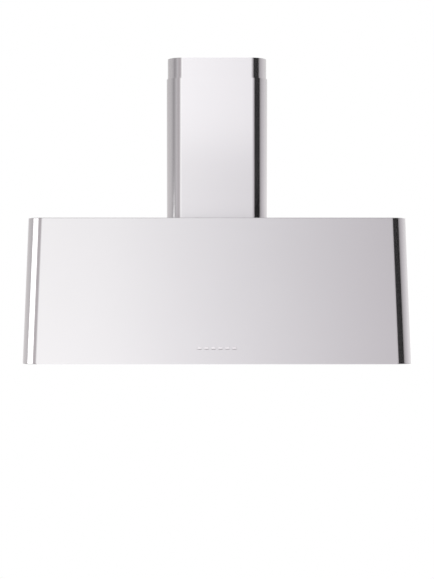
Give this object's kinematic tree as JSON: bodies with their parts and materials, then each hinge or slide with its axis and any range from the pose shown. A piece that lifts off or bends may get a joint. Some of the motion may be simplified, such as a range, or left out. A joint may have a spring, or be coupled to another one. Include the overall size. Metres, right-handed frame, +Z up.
{
  "type": "range hood",
  "caption": "Wall-mounted chimney range hood: tapered round-cornered steel canopy, telescoping chimney, push buttons, tilting baffle filters, lamps and a centrifugal blower.",
  "frame": {"origin": "on the wall plane, at mid width and level with the canopy's lower edge", "axes": "+X across the hood to the viewer's right, +Y into the wall, +Z up"},
  "size_m": [1.1998, 0.5009, 0.97],
  "materials": {
    "canopy_steel": "horizontally brushed stainless steel",
    "underside_steel": "brushed stainless steel",
    "chimney_steel": "horizontally brushed stainless steel",
    "galvanised_steel": "galvanised sheet",
    "zinc_plated_steel": "zinc plated",
    "spring_steel": "bright spring steel",
    "bearing_steel": "ground steel",
    "blower_plastic": "moulded, satin",
    "motor_aluminium": "die cast",
    "motor_core_steel": "laminated core with winding",
    "box_plastic": "moulded",
    "circuit_board": "solder mask",
    "gland_rubber": "matt",
    "cable_pvc": "smooth sheath",
    "button_metal": "satin metal finish",
    "bezel_chrome": "bright",
    "lamp_glass": "frosted",
    "lamp_aluminium": "die cast",
    "led_phosphor": "phosphor coat",
    "filter_steel": "satin stainless steel",
    "handle_steel": "polished stainless steel",
    "guide_felt": "felt"
  },
  "bodies": {
    "root": {"canopy_wrap": "canopy_steel", "top_panel": "canopy_steel", "underside_panel": "underside_steel", "chimney_lower": "chimney_steel", "back_panel": "galvanised_steel", "wall_hooks": "galvanised_steel", "motor_bracket": "galvanised_steel", "switch_bracket": "galvanised_steel", "chimney_foot_brackets": "galvanised_steel", "levelling_screws": "zinc_plated_steel", "assembly_screws": "zinc_plated_steel", "button_springs": "spring_steel", "filter_catches": "spring_steel", "lamp_clips": "spring_steel", "motor_bearings": "bearing_steel", "damper_pin": "bearing_steel", "blower_scroll": "blower_plastic", "blower_side_left": "blower_plastic", "blower_side_right": "blower_plastic", "inlet_rings": "blower_plastic", "duct_collar": "blower_plastic", "motor_shell": "motor_aluminium", "motor_stator": "motor_core_steel", "control_box": "box_plastic", "control_box_lid": "box_plastic", "lamp_transformer": "box_plastic", "capacitor": "box_plastic", "terminal_block": "box_plastic", "switch_housing": "box_plastic", "switch_board": "circuit_board", "cable_gland": "gland_rubber", "wiring": "cable_pvc", "lamp_bezels": "bezel_chrome", "lamp_lenses": "lamp_glass", "lamp_housings": "lamp_aluminium", "lamp_leds": "led_phosphor", "chimney_guide_pads": "guide_felt"},
    "button_1": {"button_1": "button_metal"},
    "button_2": {"button_2": "button_metal"},
    "button_3": {"button_3": "button_metal"},
    "button_4": {"button_4": "button_metal"},
    "button_5": {"button_5": "button_metal"},
    "button_6": {"button_6": "button_metal"},
    "filter_left": {"filter_left_frame": "filter_steel", "filter_left_baffles": "filter_steel", "filter_left_handle": "handle_steel"},
    "filter_centre": {"filter_centre_frame": "filter_steel", "filter_centre_baffles": "filter_steel", "filter_centre_handle": "handle_steel"},
    "filter_right": {"filter_right_frame": "filter_steel", "filter_right_baffles": "filter_steel", "filter_right_handle": "handle_steel"},
    "damper_front": {"damper_flap_front": "blower_plastic"},
    "damper_rear": {"damper_flap_rear": "blower_plastic"},
    "impeller": {"fan_wheel": "blower_plastic", "motor_shaft": "bearing_steel", "motor_rotor": "motor_core_steel"},
    "chimney_slider": {"chimney_upper": "chimney_steel", "chimney_wall_bracket": "galvanised_steel", "bracket_screws": "zinc_plated_steel"}
  },
  "joints": [
    {"name": "button_1_press", "type": "slide", "parent": "root", "child": "button_1", "axis": [0, 0.9993, -0.0368], "range_m": [0, 0.002], "stiffness_N_per_m": 400, "springref_m": -0.001, "deforming": ["button_springs"]},
    {"name": "button_2_press", "type": "slide", "parent": "root", "child": "button_2", "axis": [0, 0.9993, -0.0368], "range_m": [0, 0.002], "stiffness_N_per_m": 400, "springref_m": -0.001, "deforming": ["button_springs"]},
    {"name": "button_3_press", "type": "slide", "parent": "root", "child": "button_3", "axis": [0, 0.9993, -0.0368], "range_m": [0, 0.002], "stiffness_N_per_m": 400, "springref_m": -0.001, "deforming": ["button_springs"]},
    {"name": "button_4_press", "type": "slide", "parent": "root", "child": "button_4", "axis": [0, 0.9993, -0.0368], "range_m": [0, 0.002], "stiffness_N_per_m": 400, "springref_m": -0.001, "deforming": ["button_springs"]},
    {"name": "button_5_press", "type": "slide", "parent": "root", "child": "button_5", "axis": [0, 0.9993, -0.0368], "range_m": [0, 0.002], "stiffness_N_per_m": 400, "springref_m": -0.001, "deforming": ["button_springs"]},
    {"name": "button_6_press", "type": "slide", "parent": "root", "child": "button_6", "axis": [0, 0.9993, -0.0368], "range_m": [0, 0.002], "stiffness_N_per_m": 400, "springref_m": -0.001, "deforming": ["button_springs"]},
    {"name": "filter_left_tilt", "type": "hinge", "parent": "root", "child": "filter_left", "pos_m": [-0.36, -0.045, 0.025], "axis": [1, 0, 0], "range_deg": [0, 60], "deforming": ["filter_catches"]},
    {"name": "filter_centre_tilt", "type": "hinge", "parent": "root", "child": "filter_centre", "pos_m": [0, -0.045, 0.025], "axis": [1, 0, 0], "range_deg": [0, 60], "deforming": ["filter_catches"]},
    {"name": "filter_right_tilt", "type": "hinge", "parent": "root", "child": "filter_right", "pos_m": [0.36, -0.045, 0.025], "axis": [1, 0, 0], "range_deg": [0, 60], "deforming": ["filter_catches"]},
    {"name": "damper_front_swing", "type": "hinge", "parent": "root", "child": "damper_front", "pos_m": [0, -0.1425, 0.468], "axis": [-1, 0, 0], "range_deg": [0, 75]},
    {"name": "damper_rear_swing", "type": "hinge", "parent": "root", "child": "damper_rear", "pos_m": [0, -0.1425, 0.468], "axis": [1, 0, 0], "range_deg": [0, 75]},
    {"name": "impeller_spin", "type": "hinge", "parent": "root", "child": "impeller", "pos_m": [0, -0.2295, 0.235], "axis": [1, 0, 0], "continuous": true},
    {"name": "chimney_extend", "type": "slide", "parent": "root", "child": "chimney_slider", "axis": [0, 0, 1], "range_m": [-0.06, 0.33]}
  ]
}
